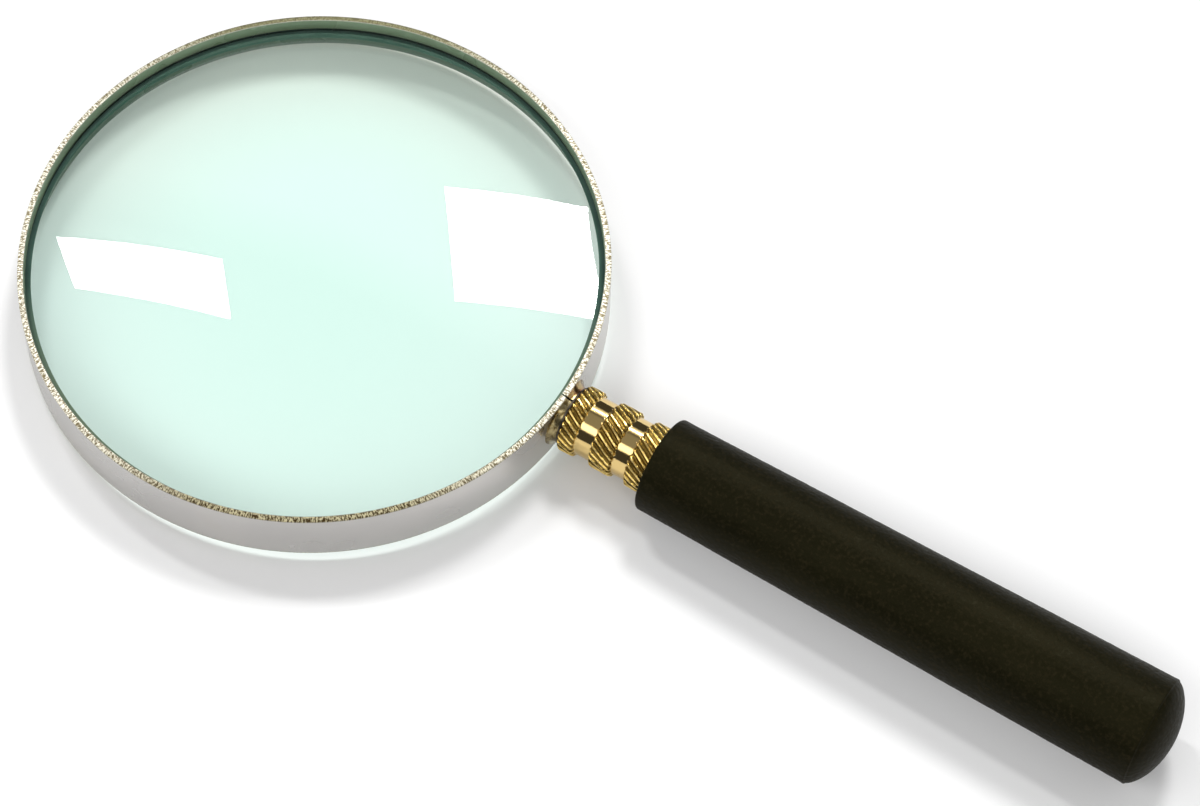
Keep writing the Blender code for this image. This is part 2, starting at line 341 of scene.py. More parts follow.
def glass_material():
    """Clear crown glass, pale green, with faint smears, and painted shade greying it towards the back of its
    rim.
    """
    n = Nodes("lens_clear_glass")
    smear = n.noise(60, 3, 0.6)
    n.set(n.shader.inputs["Roughness"], n.range(smear, 0.5, 0.8, 0.0, 0.02))
    way = from_middle(n)
    distance = n.add("ShaderNodeVectorMath", {0: way}, operation="LENGTH").outputs["Value"]
    at_back = n.range(along_way(n, way, SHADED_BACK), -0.15 * LENS_RADIUS, 0.8 * LENS_RADIUS, 0, 1)
    at_rim = n.range(distance, 0.35 * LENS_RADIUS, 0.85 * LENS_RADIUS, 0, 1)
    painted_rim_shade = n.math("MULTIPLY", at_back, at_rim)
    # painted shade: the glass is tinted grey towards the back of its rim
    n.set(n.shader.inputs["Base Color"], n.mix(painted_rim_shade, rgb(0.985, 1.0, 0.995), rgb(0.895, 0.845, 0.80)))
    n.shader.inputs["Transmission Weight"].default_value = 1.0
    n.shader.inputs["IOR"].default_value = 1.52
    clear = n.add("ShaderNodeBsdfTransparent", {"Color": rgb(0.95, 0.96, 0.955)})
    path = n.add("ShaderNodeLightPath")
    straight = n.math("MAXIMUM", path.outputs["Is Shadow Ray"], path.outputs["Is Diffuse Ray"])
    lit = n.add("ShaderNodeMixShader", {0: straight, 1: n.shader, 2: clear})
    n.set(n.output.inputs["Surface"], lit)
    absorb = n.add("ShaderNodeVolumeAbsorption")
    absorb.inputs["Color"].default_value = rgb(0.39, 0.95, 0.775)
    absorb.inputs["Density"].default_value = 20.0
    n.set(n.output.inputs["Volume"], absorb)
    return n.material


def ground_edge_material():
    """The lens's ground edge: matt dark green where it is seen through the glass, with painted light making
    it lighter towards the front.
    """
    n = Nodes("lens_ground_edge")
    grain = n.noise(2500, 2, 0.7)
    streak = n.noise(180, 3, 0.5)
    colour = n.mix(n.range(streak, 0.35, 0.65, 0, 1), rgb(0.062, 0.125, 0.102), rgb(0.084, 0.158, 0.130))
    to_back = along_way(n, from_middle(n), SHADED_BACK)
    # painted light: the ground edge is lighter towards the front
    painted_front_light = n.range(to_back, -0.1 * LENS_RADIUS, -0.7 * LENS_RADIUS, 0, 1)
    n.set(n.shader.inputs["Base Color"], n.mix(painted_front_light, colour, rgb(0.26, 0.33, 0.23)))
    n.set(n.shader.inputs["Roughness"], n.range(grain, 0.3, 0.7, 0.45, 0.7))
    n.shader.inputs["Specular IOR Level"].default_value = 0.3
    n.set(n.shader.inputs["Normal"], n.bump(grain, 0.00003, 0.6))
    return n.material


def torn_fleck(n, way):
    """Fine noise that follows the strip round the ring, about twice as long across it as along it."""
    split = n.add("ShaderNodeSeparateXYZ", {0: way})
    turn = n.math("ARCTAN2", split.outputs[1], split.outputs[0])
    arc_length = n.math("MULTIPLY", turn, BAND_RADIUS)
    across = n.add("ShaderNodeVectorMath", {0: way}, operation="LENGTH")
    round_place = n.add("ShaderNodeCombineXYZ", {0: arc_length, 1: across.outputs["Value"]})
    stretched = n.add("ShaderNodeMapping", {"Vector": round_place, "Scale": (1, 0.45, 1)})
    return n.noise(3300, 3, 0.7, vector=stretched)


def cut_edge_colour(n, fleck, to_side, to_back):
    """Torn metal in dark and light flecks, brassy in front, with painted shade dulling it at the back and
    painted highlights at the sides.
    """
    # painted highlights at the two sides and painted shade at the back, over the edge's torn flecks
    wear_and_glint = n.range(n.math("ABSOLUTE", to_side), 0.35, 0.85, 0, 1)
    painted_back_shade = n.range(to_back, 0.2, 0.8, 0, 1)
    dark = n.mix(painted_back_shade, rgb(0.055, 0.036, 0.014), rgb(0.15, 0.14, 0.075))
    dark = n.mix(wear_and_glint, dark, rgb(0.24, 0.20, 0.11))
    light = n.mix(painted_back_shade, rgb(0.50, 0.455, 0.29), rgb(0.27, 0.26, 0.15))
    light = n.mix(wear_and_glint, light, rgb(0.98, 0.95, 0.83))
    return n.mix(n.range(fleck, 0.46, 0.55, 0, 1), dark, light)


def plate_colour(n, cloud, to_side, inside):
    """Even nickel with a faint patina, painted shade making it darker away from the handle, and dull olive on
    the inner wall.
    """
    patina = n.noise(110, 2, 0.5)
    plate = n.mix(n.range(cloud, 0.35, 0.7, 0, 1), rgb(0.60, 0.585, 0.57), rgb(0.64, 0.62, 0.60))
    plate = n.mix(n.range(patina, 0.58, 0.8, 0, 0.25), plate, rgb(0.54, 0.505, 0.43))
    # painted shade: the plate is darker on the side away from the handle
    plate = n.mix(n.range(to_side, -0.6, -0.95, 0, 1), plate, rgb(0.72, 0.72, 0.71), blend="MULTIPLY")
    inner_wall = n.mix(n.range(cloud, 0.35, 0.65, 0, 1), rgb(0.20, 0.26, 0.165), rgb(0.27, 0.335, 0.225))
    # painted shade: the inner wall's lower half, below the lens, is darker
    under = n.add("ShaderNodeAttribute", attribute_name="under").outputs["Fac"]
    inner_wall = n.mix(under, inner_wall, rgb(0.105, 0.155, 0.120))
    return n.mix(inside, plate, inner_wall)


def nickel_material():
    """Satin nickel plate: even on the faces but for painted shade away from the handle, worn to brass on the
    cut edges, which carry painted highlights and shade, dull olive inside with painted shade on its lower
    half.
    """
    n = Nodes("satin_nickel")
    way = from_middle(n)
    outwards = n.add("ShaderNodeVectorMath", {0: way}, operation="NORMALIZE")
    to_side = along_way(n, outwards, PAINTED_LIGHT_SIDE)
    to_back = along_way(n, outwards, SHADED_BACK)
    worn = n.add("ShaderNodeAttribute", attribute_name="worn").outputs["Fac"]
    inside = n.add("ShaderNodeAttribute", attribute_name="inside").outputs["Fac"]
    fleck = torn_fleck(n, way)
    cloud = n.noise(55, 3, 0.5)
    plate = plate_colour(n, cloud, to_side, inside)
    cut = cut_edge_colour(n, fleck, to_side, to_back)
    n.set(n.shader.inputs["Base Color"], n.mix(worn, plate, cut))
    smooth = n.range(cloud, 0.3, 0.7, 0.24, 0.36)
    n.set(n.shader.inputs["Roughness"], n.math("MULTIPLY_ADD", worn, 0.25, smooth))
    n.set(n.shader.inputs["Metallic"], n.range(inside, 0, 1, 1.0, 0.15))
    rough_height = n.math("MULTIPLY_ADD", cloud, 0.1, n.math("MULTIPLY", fleck, worn))
    n.set(n.shader.inputs["Normal"], n.bump(rough_height, 0.00010, 0.8))
    return n.material


def lug_material():
    """Nickel over brass that has browned round the brazing."""
    n = Nodes("brazed_nickel")
    cloud = n.noise(420, 5, 0.65, distortion=0.6)
    speck = n.noise(2600, 3, 0.7)
    split = n.add("ShaderNodeSeparateXYZ", {0: n.place()})
    neck_end = (RING @ Vector((NECK_END, 0, 0))).x
    on_neck = n.range(split.outputs[0], neck_end + 0.3 * MM, neck_end, 0, 1)
    at_back = n.range(split.outputs[1], -0.4 * MM, 0.8 * MM, 0, 1)
    stain = n.math("MULTIPLY", n.noise(190, 3, 0.6), n.math("MULTIPLY", on_neck, at_back))
    light = n.mix(at_back, rgb(0.42, 0.34, 0.17), rgb(0.38, 0.28, 0.12))
    dark = n.mix(at_back, rgb(0.095, 0.066, 0.023), rgb(0.10, 0.050, 0.016))
    plate = n.mix(n.range(cloud, 0.40, 0.57, 0, 1), light, dark)
    plate = n.mix(n.range(stain, 0.42, 0.55, 0, 0.8), plate, rgb(0.36, 0.125, 0.055))
    colour = n.mix(n.range(speck, 0.59, 0.75, 0, 0.5), plate, rgb(0.85, 0.77, 0.54))
    n.set(n.shader.inputs["Base Color"], colour)
    n.set(n.shader.inputs["Roughness"], n.range(cloud, 0.35, 0.7, 0.18, 0.38))
    n.shader.inputs["Metallic"].default_value = 1.0
    height = n.math("MULTIPLY_ADD", speck, 0.3, cloud)
    n.set(n.shader.inputs["Normal"], n.bump(height, 0.00008, 0.5))
    return n.material


def brass_material():
    """Polished brass, dull and darker down in the knurl."""
    n = Nodes("polished_brass")
    depth = n.add("ShaderNodeAttribute", attribute_name="depth")
    cloud = n.noise(260, 4, 0.6)
    fine = n.noise(3500, 2, 0.6)
    hammered = n.noise(1500, 3, 0.6)
    bright = n.mix(n.range(cloud, 0.35, 0.65, 0, 1), rgb(0.95, 0.70, 0.22), rgb(0.87, 0.61, 0.165))
    tarnish = n.range(depth.outputs["Fac"], 0.06, 0.62, 0.0, 0.95)
    knurled = n.range(depth.outputs["Fac"], 0.0, 0.12, 0.0, 1.0)
    bright = n.mix(knurled, rgb(0.71, 0.52, 0.215), bright)
    n.set(n.shader.inputs["Base Color"], n.mix(tarnish, bright, rgb(0.105, 0.060, 0.009)))
    rough = n.range(cloud, 0.3, 0.7, 0.04, 0.085)
    n.set(n.shader.inputs["Roughness"], n.math("MULTIPLY_ADD", depth.outputs["Fac"], 0.18, rough))
    n.shader.inputs["Metallic"].default_value = 1.0
    dents = n.bump(n.math("MULTIPLY", hammered, knurled), 0.00016, 0.8)
    n.set(n.shader.inputs["Normal"], n.bump(fine, 0.00002, 0.3, normal=dents))
    return n.material


def steel_material():
    """Blackened steel, cloudy and rather dull."""
    n = Nodes("blackened_steel")
    cloud = n.noise(700, 4, 0.6)
    n.set(n.shader.inputs["Base Color"],
          n.mix(n.range(cloud, 0.35, 0.65, 0, 1), rgb(0.03, 0.026, 0.022), rgb(0.12, 0.10, 0.08)))
    n.set(n.shader.inputs["Roughness"], n.range(cloud, 0.3, 0.7, 0.35, 0.6))
    n.shader.inputs["Metallic"].default_value = 1.0
    n.set(n.shader.inputs["Normal"], n.bump(cloud, 0.00003, 0.4))
    return n.material


def handle_material():
    """Dark brown, satin, with a fine pebbled grain that is worn lighter in places."""
    n = Nodes("dark_handle")
    stretched = n.place((0.45, 1, 1))
    patches = n.noise(90, 5, 0.6, vector=stretched)
    grain = n.noise(1500, 3, 0.6)
    pebbles = n.add("ShaderNodeTexVoronoi", {"Vector": n.place((0.7, 1, 1)), "Scale": 1500.0},
                    feature="SMOOTH_F1")
    dark = rgb(0.0044, 0.0042, 0.0014)
    lighter = rgb(0.0078, 0.0072, 0.0026)
    base = n.mix(n.range(patches, 0.35, 0.68, 0, 1), dark, lighter)
    wear_and_glint = n.range(grain, 0.50, 0.70, 0.0, 0.5)
    n.set(n.shader.inputs["Base Color"], n.mix(wear_and_glint, base, rgb(0.021, 0.016, 0.0075)))
    n.set(n.shader.inputs["Roughness"], n.range(grain, 0.3, 0.7, 0.42, 0.60))
    n.shader.inputs["Specular IOR Level"].default_value = 0.065
    n.shader.inputs["Specular Tint"].default_value = rgb(1.0, 0.88, 0.50)
    relief = n.math("MULTIPLY_ADD", grain, 0.6, n.math("MULTIPLY", pebbles, 0.7))
    n.set(n.shader.inputs["Normal"], n.bump(relief, 0.00012, 0.55))
    return n.material


# ---------------------------------------------------------------- pieces
def lens_surface(radius):
    """Height of the lens's upper face at a distance from its middle."""
    return LENS_TOP - LENS_CURVE + math.sqrt(LENS_CURVE ** 2 - radius ** 2)


def make_lens():
    """Plano-convex disc, flat side down; its faces are glass, and its rim and upper bevel are ground."""
    columns = 256
    rows = 36
    bevel_start = LENS_RADIUS - BEVEL_WIDTH
    radii = [bevel_start * row / rows for row in range(1, rows + 1)]
    profile = [(radius, lens_surface(radius)) for radius in radii]
    corner = 0.1 * MM
    profile.append((LENS_RADIUS - corner, profile[-1][1] - BEVEL_HEIGHT + corner / 2))
    profile.append((LENS_RADIUS, profile[-1][1] - corner))
    profile.append((LENS_RADIUS, LENS_BOTTOM + LENS_CHAMFER))
    profile += [((LENS_RADIUS - LENS_CHAMFER) * row / rows, LENS_BOTTOM) for row in range(rows, 0, -1)]
    rings = [[around_z(r, z, TAU * c / columns) for c in range(columns)] for r, z in profile]
    mesh = grid_mesh("magnifier_lens", rings, cap_start=True, cap_end=True)
    mesh.materials.append(glass_material())
    mesh.materials.append(ground_edge_material())
    for face in mesh.polygons:
        distance = math.hypot(face.center.x, face.center.y)
        is_upper = face.center.z > LENS_BOTTOM + LENS_CHAMFER
        ground_from = bevel_start if is_upper else LENS_RADIUS - LENS_CHAMFER
        face.material_index = 1 if distance > ground_from else 0
    lens = make_object("magnifier_lens", mesh, 20)
    finish_piece(lens, "ring", "lens")


def cut_edge_height(angle, radius):
    """Roughness of the band's cut edge: short torn marks, longer across the strip than along it."""
    along = angle * BAND_RADIUS / MM
    across = radius / MM
    torn = noise.noise(Vector((along * 3.2, across * 1.1, 0.0)))
    fine = noise.noise(Vector((along * 7.5, across * 5.0, 4.0)))
    wave = noise.noise(Vector((along * 0.15, 0.0, 9.0)))
    return (0.03 * torn + 0.02 * fine + 0.03 * wave) * MM


def rim_outline(drop):
    """Half of the strip's section (r, z): its cut edge slopes down outwards, between two soft corners."""
    cut_low = CUT_TOP - drop
    inner = BAND_RADIUS - BAND_WALL
    lip = SEAT_RADIUS - inner
    side_row = cut_low - 0.25 * MM
    points = [(BAND_RADIUS, side_row), (BAND_RADIUS, cut_low)]
    steps = 9
    for step in range(1, steps + 1):
        share = step / steps
        points.append((BAND_RADIUS - CUT_WIDTH * share, cut_low + drop * share ** CUT_BOW))
    points += arc(inner + CUT_ROUND, CUT_TOP - CUT_ROUND, CUT_ROUND, 60, 180, 4)
    points += [(inner, CUT_TOP - 2 * CUT_ROUND), (inner, SEAT_HALF), (SEAT_RADIUS, SEAT_HALF - lip)]
    return points


def rim_point(r, z, angle):
    """A roughened point of the strip, with how worn it is, and whether it is inside and on the lower half."""
    side = 1 if z > 0 else -1
    inner = BAND_RADIUS - BAND_WALL
    cut_low = CUT_TOP - (UPPER_DROP if z > 0 else LOWER_DROP)
    near_edge = smoothstep(cut_low - 0.15 * MM, cut_low + 0.03 * MM, abs(z))
    near_edge *= smoothstep(inner + 0.02 * MM, inner + 0.2 * MM, r)
    marks_from = angle if z > 0 else angle + LOWER_MARKS_SHIFT
    lift = cut_edge_height(marks_from, r) * near_edge
    inside = smoothstep(inner + 0.15 * MM, inner, r)
    # the last value marks the lower half, whose inner wall gets painted shade
    return around_z(r, z + side * lift, angle), near_edge, inside, 0.0 if z > 0 else 1.0


def make_rim_band():
    """The strip, bent round the lens, with its two ends just apart at the handle."""
    columns = 2000
    profile = rim_outline(UPPER_DROP) + [(r, -z) for r, z in reversed(rim_outline(LOWER_DROP))]
    count = len(profile)
    start = SPLIT_GAP / 2 / BAND_RADIUS
    points = []
    for column in range(columns + 1):
        angle = start + (TAU - 2 * start) * column / columns
        points += [rim_point(r, z, angle) for r, z in profile]
    verts, worn, inside, under = zip(*points)
    faces = []
    for column in range(columns):
        for row in range(count):
            below = (row + 1) % count
            faces.append((column * count + row, (column + 1) * count + row,
                          (column + 1) * count + below, column * count + below))
    faces.append(tuple(range(count)))
    faces.append(tuple(columns * count + row for row in reversed(range(count))))
    mesh = bpy.data.meshes.new("rim_strip")
    mesh.from_pydata(verts, [], faces)
    for name, values in (("worn", worn), ("inside", inside), ("under", under)):
        set_attribute(mesh, name, values)
    outward(mesh)
    mesh.materials.append(nickel_material())
    band = make_object("rim_strip", mesh, 40)
    finish_piece(band, "ring", "rim_band")


def thread_radius(x, angle, root, crest):
    """Radius of a right-hand thread at a place along and an angle about the axis."""
    inside = smoothstep(THREAD_START - 0.2 * MM, THREAD_START + 0.7 * MM, x)
    inside *= 1 - smoothstep(THREAD_END - 0.7 * MM, THREAD_END + 0.2 * MM, x)
    phase = ((x - THREAD_START) / THREAD_PITCH - angle / TAU) % 1.0
    off = abs(phase - 0.5) * THREAD_PITCH
    ridge = 1 - smoothstep(0.12 * MM, 0.46 * MM, off)
    return root + (crest - root) * ridge * inside


def lug_point(row_x, angle):
    """A point on the turned lug: threaded stud, neck, and the braze fillet that spreads onto the band."""
    if row_x > NECK_END:
        chamfer = max(0.0, row_x - (STUD_END - STUD_CHAMFER))
        radius = thread_radius(row_x, angle, THREAD_ROOT, THREAD_CREST) - chamfer
        return around_x(row_x, radius, angle)
    depth = min(1.0, (NECK_END - row_x) / FLARE_REACH)
    spread = FLARE_REACH * (1 - math.sqrt(max(0.0, 1 - depth * depth))) * FLARE_SPREAD
    lump = noise.noise(Vector((row_x * 900, math.sin(angle) * 2.2, math.cos(angle) * 2.2)))
    radius = NECK_RADIUS + spread + lump * LUMP_HEIGHT * depth
    x, y, z = around_x(row_x, radius, angle)
    limit = LUG_HALF_HEIGHT - LUG_TOP_ROUND
    if abs(z) > limit:
        over = abs(z) - limit
        z = math.copysign(limit + LUG_TOP_ROUND * (1 - math.exp(-over / LUG_TOP_ROUND)), z)
    # The lug follows the round of the band, so its rows bend back away from the axis.
    bend = BAND_RADIUS - math.sqrt(BAND_RADIUS ** 2 - y * y)
    share = smoothstep(NECK_END, BAND_RADIUS, x)
    return (x - bend * share, y, z)


def make_lugs():
    """Both halves of the sawn stud, cut from one turned shape."""
    columns = 144
    stud_rows = 150
    neck_rows = 14
    neck_inner = BAND_RADIUS - 0.5 * MM
    xs = [neck_inner + (NECK_END - neck_inner) * i / neck_rows for i in range(neck_rows + 1)]
    xs.append(NECK_END + 0.001 * MM)
    xs += [NECK_END + (STUD_END - NECK_END) * i / stud_rows for i in range(1, stud_rows + 1)]
    rings = [[lug_point(x, TAU * c / columns) for c in range(columns)] for x in xs]
    metal = lug_material()
    for name, side, node in (("lug_left_turned", 1, "lug_left"), ("lug_right_turned", -1, "lug_right")):
        mesh = grid_mesh(name, rings, cap_start=True, cap_end=True)
        bm = bmesh.new()
        bm.from_mesh(mesh)
        cut = bmesh.ops.bisect_plane(bm, geom=bm.verts[:] + bm.edges[:] + bm.faces[:], dist=1e-8,
                                     plane_co=(0, side * SPLIT_GAP / 2, 0), plane_no=(0, -side, 0),
                                     clear_outer=True)
        edges = [g for g in cut["geom_cut"] if isinstance(g, bmesh.types.BMEdge)]
        bmesh.ops.triangle_fill(bm, use_beauty=True, edges=edges, normal=(0, -side, 0))
        bmesh.ops.recalc_face_normals(bm, faces=bm.faces)
        bm.to_mesh(mesh)
        bm.free()
        mesh.materials.append(metal)
        lug = make_object(name, mesh, 40)
        finish_piece(lug, "ring", node)


def make_washer():
    """A flat ring with softened corners."""
    soft = 0.08 * MM
    low = WASHER_BOX[0].x + soft
    high = WASHER_BOX[1].x - soft
    outer = WASHER_BOX[1].z - soft
    inner = WASHER_BORE + soft
    profile = arc(low, outer, soft, 180, 90, 3) + arc(high, outer, soft, 90, 0, 3)
    profile += arc(high, inner, soft, 0, -90, 3) + arc(low, inner, soft, -90, -180, 3)
    columns = 96
    rings = [[around_x(x, r, TAU * c / columns) for c in range(columns)] for x, r in profile]
    mesh = grid_mesh("washer_ring", rings, closed=True)
    mesh.materials.append(steel_material())
    washer = make_object("washer_ring", mesh)
    finish_piece(washer, "washer", "thrust_washer")


def band_envelope(x):
    """Outside of the bands before knurling: rounded shoulders that drop away into the grooves."""
    best = 0.0
    for low, high in FERRULE_BANDS:
        past = max(0.0, low + BAND_ROUND - x, x - (high - BAND_ROUND)) / BAND_ROUND
        if past < 1:
            drop = 1 - math.sqrt(1 - min(past, 0.999) ** 2)
        else:
            drop = past
        if past < SHOULDER_REACH:
            best = max(best, FERRULE_RADIUS - drop * BAND_ROUND)
    return best


def knurl_depth(x, angle):
    """0 on a ridge's top and 1 at the bottom of the cut beside it."""
    radius = FERRULE_RADIUS / MM
    round_place = Vector((x / MM, radius * math.sin(angle), radius * math.cos(angle)))
    wander = 0.06 * noise.noise(round_place * 0.9)
    phase = ((angle - (x - FERRULE_FRONT) * KNURL_TWIST) * KNURL_RIDGES / TAU + wander) % 1.0
    off = abs(phase - 0.5) * 2
    dent = 0.16 * max(0.0, noise.noise(round_place * 1.7))
    return min(1.0, smoothstep(0.05, 0.8, off) + dent)


def ferrule_outside(x, angle):
    """Radius and knurl depth of the ferrule's outside, with its shank behind the knurling."""
    if x > KNURLED_END:
        end_chamfer = max(0, x - SHANK_END + SHANK_CHAMFER)
        return FERRULE_RADIUS - SHANK_STEP - end_chamfer, SHANK_TARNISH
    depth = knurl_depth(x, angle)
    cut = band_envelope(x) - depth * KNURL_DEPTH
    if cut > GROOVE_RADIUS:
        return cut, depth
    return GROOVE_RADIUS, 0.0


def ferrule_inside(x, angle):
    """Radius of the ferrule's threaded bore, which is countersunk at its mouth, and its tarnish."""
    bore = THREAD_ROOT + THREAD_CLEARANCE
    thread_top = THREAD_CREST + THREAD_CLEARANCE
    sink = max(0.0, COUNTERSINK - (x - FERRULE_FRONT))
    return max(thread_radius(x, angle, bore, thread_top), bore + sink), BORE_TARNISH


def ferrule_rows():
    """Where the rows of the ferrule's outside and inside lie along the axis."""
    step = 0.1 * MM
    inner_rows = 56
    mouth = FERRULE_FRONT + 0.001 * MM
    outside = [mouth]
    while outside[-1] + step < KNURLED_END:
        outside.append(outside[-1] + step)
    outside += [KNURLED_END, SHANK_END - SHANK_CHAMFER, SHANK_END]
    inside = [SHANK_END + (mouth - SHANK_END) * (row / inner_rows) ** 0.6 for row in range(inner_rows + 1)]
    return outside, inside


def make_ferrule():
    """Knurled bands, turned grooves, and the internal thread that takes the split stud."""
    columns = 392
    verts = []
    depths = []
    outside, inside = ferrule_rows()
    for xs, shape in ((outside, ferrule_outside), (inside, ferrule_inside)):
        for x in xs:
            for column in range(columns):
                angle = TAU * column / columns
                radius, depth = shape(x, angle)
                verts.append(around_x(x, radius, angle))
                depths.append(depth)
    mesh = bpy.data.meshes.new("ferrule_knurled")
    mesh.from_pydata(verts, [], tube_faces(len(outside) + len(inside), columns, True))
    set_attribute(mesh, "depth", depths)
    outward(mesh)
    mesh.materials.append(brass_material())
    ferrule = make_object("ferrule_knurled", mesh, 28)
    finish_piece(ferrule, "handle", "ferrule")


def handle_profile():
    """The grip's outline (x, r): bore, front edge, straight taper, and the domed end."""
    side_end = HANDLE_END - HANDLE_DOME
    front_edge = HANDLE_FRONT + HANDLE_FRONT_ROUND
    bore_chamfer = 0.3 * MM
    points = [(HANDLE_FRONT + HANDLE_BORE_DEPTH, HANDLE_BORE), (HANDLE_FRONT + bore_chamfer, HANDLE_BORE),
              (HANDLE_FRONT, HANDLE_BORE + bore_chamfer), (HANDLE_FRONT, HANDLE_FACE_ROW)]
    points += arc(front_edge, HANDLE_FRONT_RADIUS - HANDLE_FRONT_ROUND, HANDLE_FRONT_ROUND, 180, 90, 6)
    rows = 330
    for row in range(1, rows):
        share = row / rows
        x = front_edge + (side_end - HANDLE_END_ROUND - front_edge) * share
        points.append((x, HANDLE_FRONT_RADIUS + (HANDLE_REAR_RADIUS - HANDLE_FRONT_RADIUS) * share))
    points += arc(side_end - HANDLE_END_ROUND, HANDLE_REAR_RADIUS - HANDLE_END_ROUND, HANDLE_END_ROUND,
                  90, 30, 4)
    dome_steps = 26
    for step in range(1, dome_steps):
        share = math.cos(math.pi / 2 * step / dome_steps)
        x = side_end + HANDLE_DOME * (1 - share * share) ** 0.7
        points.append((x, (HANDLE_REAR_RADIUS - HANDLE_END_ROUND) * share))
    return points


def handle_skin(x, radius, angle):
    """How far the grip's pebbled and slightly wavy skin stands off its outline, mostly inwards."""
    place = Vector(around_x(x, radius, angle)) / MM
    pebble = noise.noise(place * 1.35)
    slow = noise.noise(place * 0.12 + Vector((7, 3, 1)))
    on_side = 0.2
    if radius > HANDLE_SKIN_FROM:
        on_side = smoothstep(HANDLE_FRONT + 0.2 * MM, HANDLE_FRONT + 0.8 * MM, x)
    return SKIN_DEPTH * (pebble + slow - 1.2) * on_side


def make_handle():
    """The tapered grip, with a faint bead at its front edge, a faint lip at its end, and its dome."""
    columns = 220
    bead_place = HANDLE_FRONT + HANDLE_FRONT_ROUND + 0.3 * MM
    lip_place = HANDLE_END - HANDLE_DOME - 0.3 * MM
    rings = []
    for x, r in handle_profile():
        bead = math.exp(-((x - bead_place) / (0.5 * MM)) ** 2)
        lip = math.exp(-((x - lip_place) / (0.35 * MM)) ** 2)
        raised = r + BEAD_HEIGHT * (bead + lip - 0.5)
        angles = [TAU * column / columns for column in range(columns)]
        rings.append([around_x(x, raised + handle_skin(x, r, angle), angle) for angle in angles])
    mesh = grid_mesh("handle_body", rings, cap_start=True, cap_end=True)
    mesh.materials.append(handle_material())
    handle = make_object("handle_body", mesh, 50)
    finish_piece(handle, "handle", "handle_grip")


def finish_piece(piece, body, node):
    """Puts a piece on the body it rides and hides the CAD node it stands for."""
    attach(piece, body)
    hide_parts(node)


# ---------------------------------------------------------------- stage
TABLE_GAP = 0.02 * MM


def make_floor():
    """A plain pale table just under the part."""
    mesh = bpy.data.meshes.new("table_top")
    half = 6.0
    corners = [(-half, -half, 0), (half, -half, 0), (half, half, 0), (-half, half, 0)]
    mesh.from_pydata(corners, [], [(0, 1, 2, 3)])
    n = Nodes("pale_table")
    n.shader.inputs["Base Color"].default_value = rgb(0.86, 0.86, 0.86)
    n.shader.inputs["Roughness"].default_value = 0.85
    n.shader.inputs["Specular IOR Level"].default_value = 0.1
    mesh.materials.append(n.material)
    table = bpy.data.objects.new("table_top", mesh)
    bpy.context.scene.collection.objects.link(table)
    table.location.z = cad_box[0].z - TABLE_GAP


# The room's brightness round the handle's axis: degrees from straight up, towards the camera's side,
# with the brightness there
ROOM = ((-90, 0.07), (-52, 0.07), (-46, 1.3), (-30, 1.3), (-24, 0.11), (-14, 0.33), (24, 0.35), (30, 2.75),
        (48, 2.75), (55, 0.065), (90, 0.065))
ROOM_BRIGHTEST = max(brightness for degrees, brightness in ROOM)
BACKDROP = 1.0


def room_brightness(tree):
    """The ROOM table as a ramp over the angle about the handle's axis, as shares of its brightest stop."""
    coords = tree.nodes.new("ShaderNodeTexCoord")
    split = tree.nodes.new("ShaderNodeSeparateXYZ")
    tree.links.new(coords.outputs["Generated"], split.inputs[0])
    across = tree.nodes.new("ShaderNodeMath")
    across.operation = "MULTIPLY"
    tree.links.new(split.outputs[1], across.inputs[0])
    across.inputs[1].default_value = -1.0
    angle = tree.nodes.new("ShaderNodeMath")
    angle.operation = "ARCTAN2"
    tree.links.new(across.outputs[0], angle.inputs[0])
    tree.links.new(split.outputs[2], angle.inputs[1])
    share = tree.nodes.new("ShaderNodeMapRange")
    tree.links.new(angle.outputs[0], share.inputs["Value"])
    share.inputs["From Min"].default_value = math.radians(-90)
    share.inputs["From Max"].default_value = math.radians(90)
    ramp = tree.nodes.new("ShaderNodeValToRGB")
    tree.links.new(share.outputs[0], ramp.inputs["Fac"])
    stops = ramp.color_ramp.elements
    for index, (degrees, brightness) in enumerate(ROOM):
        place = (degrees + 90) / 180
        if index in (0, len(ROOM) - 1):
            stop = stops[0] if index == 0 else stops[len(stops) - 1]
            stop.position = place
        else:
            stop = stops.new(place)
        level = brightness / ROOM_BRIGHTEST
        stop.color = rgb(level, level, level)
    return ramp.outputs[0]


def make_world():
    """A room with a soft ceiling, dim walls and a long bright strip high on either side.

    Seen directly or through the glass, it is an even backdrop.
    """
    world = bpy.data.worlds.new("studio")
    bpy.context.scene.world = world
    world.use_nodes = True
    tree = world.node_tree
    path = tree.nodes.new("ShaderNodeLightPath")
    seen = tree.nodes.new("ShaderNodeMix")
    seen.data_type = "RGBA"
    plain = tree.nodes.new("ShaderNodeMath")
    plain.operation = "MAXIMUM"
    tree.links.new(path.outputs["Is Camera Ray"], plain.inputs[0])
    tree.links.new(path.outputs["Is Transmission Ray"], plain.inputs[1])
    tree.links.new(plain.outputs[0], seen.inputs[0])
    tree.links.new(room_brightness(tree), seen.inputs[6])
    level = BACKDROP / ROOM_BRIGHTEST
    seen.inputs[7].default_value = rgb(level, level, level)
    background = tree.nodes["Background"]
    tree.links.new(seen.outputs[2], background.inputs["Color"])
    background.inputs["Strength"].default_value = ROOM_BRIGHTEST


# The camera, in the ring's frame: where its axis meets the lens's middle plane, and how it looks there
CAMERA_AIM = Vector((54.69, 4.64, 0.0)) * MM
CAMERA_DISTANCE = 679.4 * MM
CAMERA_ELEVATION = math.radians(60.46)
CAMERA_TURN = math.radians(120.2)    # direction it looks in, about the optical axis, from the handle's
CAMERA_ROLL = math.radians(1.66)
CAMERA_LENS = 120.0
SENSOR_WIDTH = 36.0


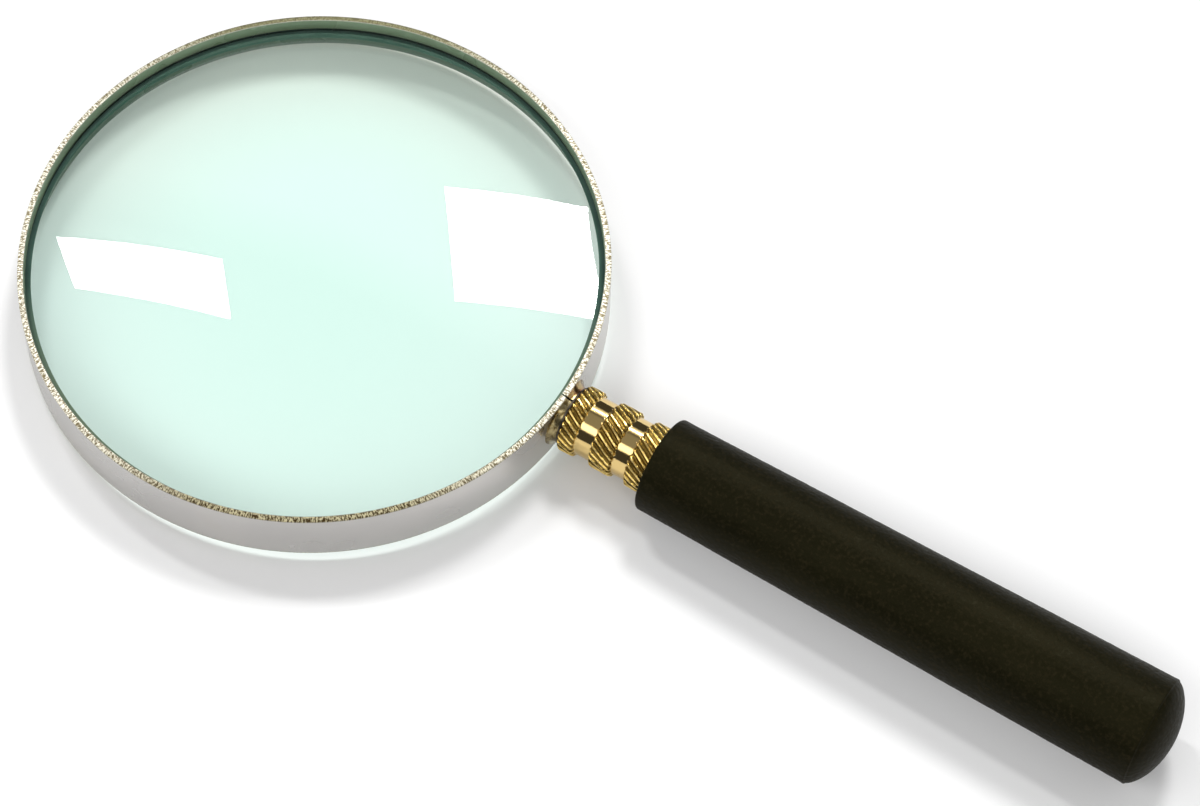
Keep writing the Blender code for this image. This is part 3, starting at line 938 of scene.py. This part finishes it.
def look_direction():
    """The way the camera looks, in the ring's frame."""
    flat = math.cos(CAMERA_ELEVATION)
    return Vector((math.cos(CAMERA_TURN) * flat, math.sin(CAMERA_TURN) * flat,
                   -math.sin(CAMERA_ELEVATION)))


def make_camera():
    ahead = look_direction()
    right = ahead.cross(Vector((0, 0, 1))).normalized()
    up = right.cross(ahead)
    rolled_right = right * math.cos(CAMERA_ROLL) + up * math.sin(CAMERA_ROLL)
    rolled_up = up * math.cos(CAMERA_ROLL) - right * math.sin(CAMERA_ROLL)
    local = Matrix((rolled_right, rolled_up, -ahead)).transposed().to_4x4()
    local.translation = CAMERA_AIM - ahead * CAMERA_DISTANCE
    data = bpy.data.cameras.new("camera")
    data.sensor_width = SENSOR_WIDTH
    data.lens = CAMERA_LENS
    data.clip_start = 0.05
    data.clip_end = 20.0
    camera = bpy.data.objects.new("camera", data)
    bpy.context.scene.collection.objects.link(camera)
    camera.matrix_world = RING @ local
    bpy.context.scene.camera = camera
    return camera


def mirrored(camera_place, x, y):
    """The point of the lens's upper face over (x, y), and the direction it mirrors the camera in."""
    point = Vector((x, y, lens_surface(math.hypot(x, y))))
    normal = (point - Vector((0, 0, LENS_TOP - LENS_CURVE))).normalized()
    arriving = (point - camera_place).normalized()
    return point, arriving - 2 * arriving.dot(normal) * normal


# The corners of the two windows' reflections on the lens's upper face, in millimetres
WINDOWS = {
    "window_left": ((-41, -19), (-13, -9), (-5, -18), (-32, -26)),
    "window_right": ((11, 24), (33, 35), (47, 17), (25, 5.5)),
}
WINDOW_DISTANCE = 1.6
WINDOW_BRIGHTNESS = 36.0


def make_window(name, camera, corners):
    """A bright flat panel, placed where the lens mirrors it at these corners."""
    camera_place = RING.inverted() @ camera.matrix_world.translation
    rays = [mirrored(camera_place, x * MM, y * MM) for x, y in corners]
    middle = sum((point for point, way in rays), Vector()) / len(rays)
    facing = sum((way for point, way in rays), Vector()).normalized()
    centre = middle + facing * WINDOW_DISTANCE
    verts = []
    for point, way in rays:
        verts.append(point + way * (facing.dot(centre - point) / facing.dot(way)))
    mesh = bpy.data.meshes.new(name)
    mesh.from_pydata(verts, [], [tuple(range(len(verts)))])
    mesh.transform(RING)
    n = Nodes(name)
    light = n.add("ShaderNodeEmission", {"Strength": WINDOW_BRIGHTNESS})
    n.set(n.output.inputs["Surface"], light)
    mesh.materials.append(n.material)
    panel = bpy.data.objects.new(name, mesh)
    bpy.context.scene.collection.objects.link(panel)
    panel.visible_camera = False


make_lens()
make_rim_band()
make_lugs()
make_washer()
make_ferrule()
make_handle()
make_floor()
make_world()
the_camera = make_camera()
for window_name, window_corners in WINDOWS.items():
    make_window(window_name, the_camera, window_corners)
bpy.context.scene.view_settings.view_transform = "Standard"
